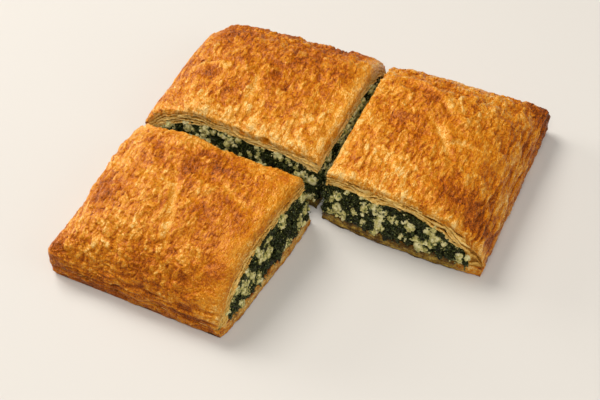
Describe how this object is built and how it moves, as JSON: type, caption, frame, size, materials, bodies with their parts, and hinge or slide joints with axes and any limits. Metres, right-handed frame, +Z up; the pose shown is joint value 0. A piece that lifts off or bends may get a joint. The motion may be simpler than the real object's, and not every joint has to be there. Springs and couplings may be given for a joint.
{
  "type": "greens and cheese pie",
  "caption": "Square puff pastry pie of greens and crumbled cheese, cut in quarters with one quarter gone, its layered cut faces open.",
  "frame": {"origin": "under the middle of the pie's box, on the plane the pie rests on", "axes": "+Z up through the crust; +X to the right along the front of the pie, towards the missing quarter's side; +Y to the back. The missing quarter is at +X, -Y"},
  "size_m": [0.1777, 0.1769, 0.0368],
  "materials": {
    "top_crust": "golden brown flaky puff pastry with a light egg gloss",
    "bottom_crust": "pale firm pastry, toasted at the base",
    "filling": "moist dark chopped greens with pale cheese crumbs"
  },
  "bodies": {
    "root": {"front_left_bottom_crust": "bottom_crust", "front_left_filling": "filling", "front_left_top_crust": "top_crust", "back_left_bottom_crust": "bottom_crust", "back_left_filling": "filling", "back_left_top_crust": "top_crust", "back_right_bottom_crust": "bottom_crust", "back_right_filling": "filling", "back_right_top_crust": "top_crust"}
  },
  "joints": []
}
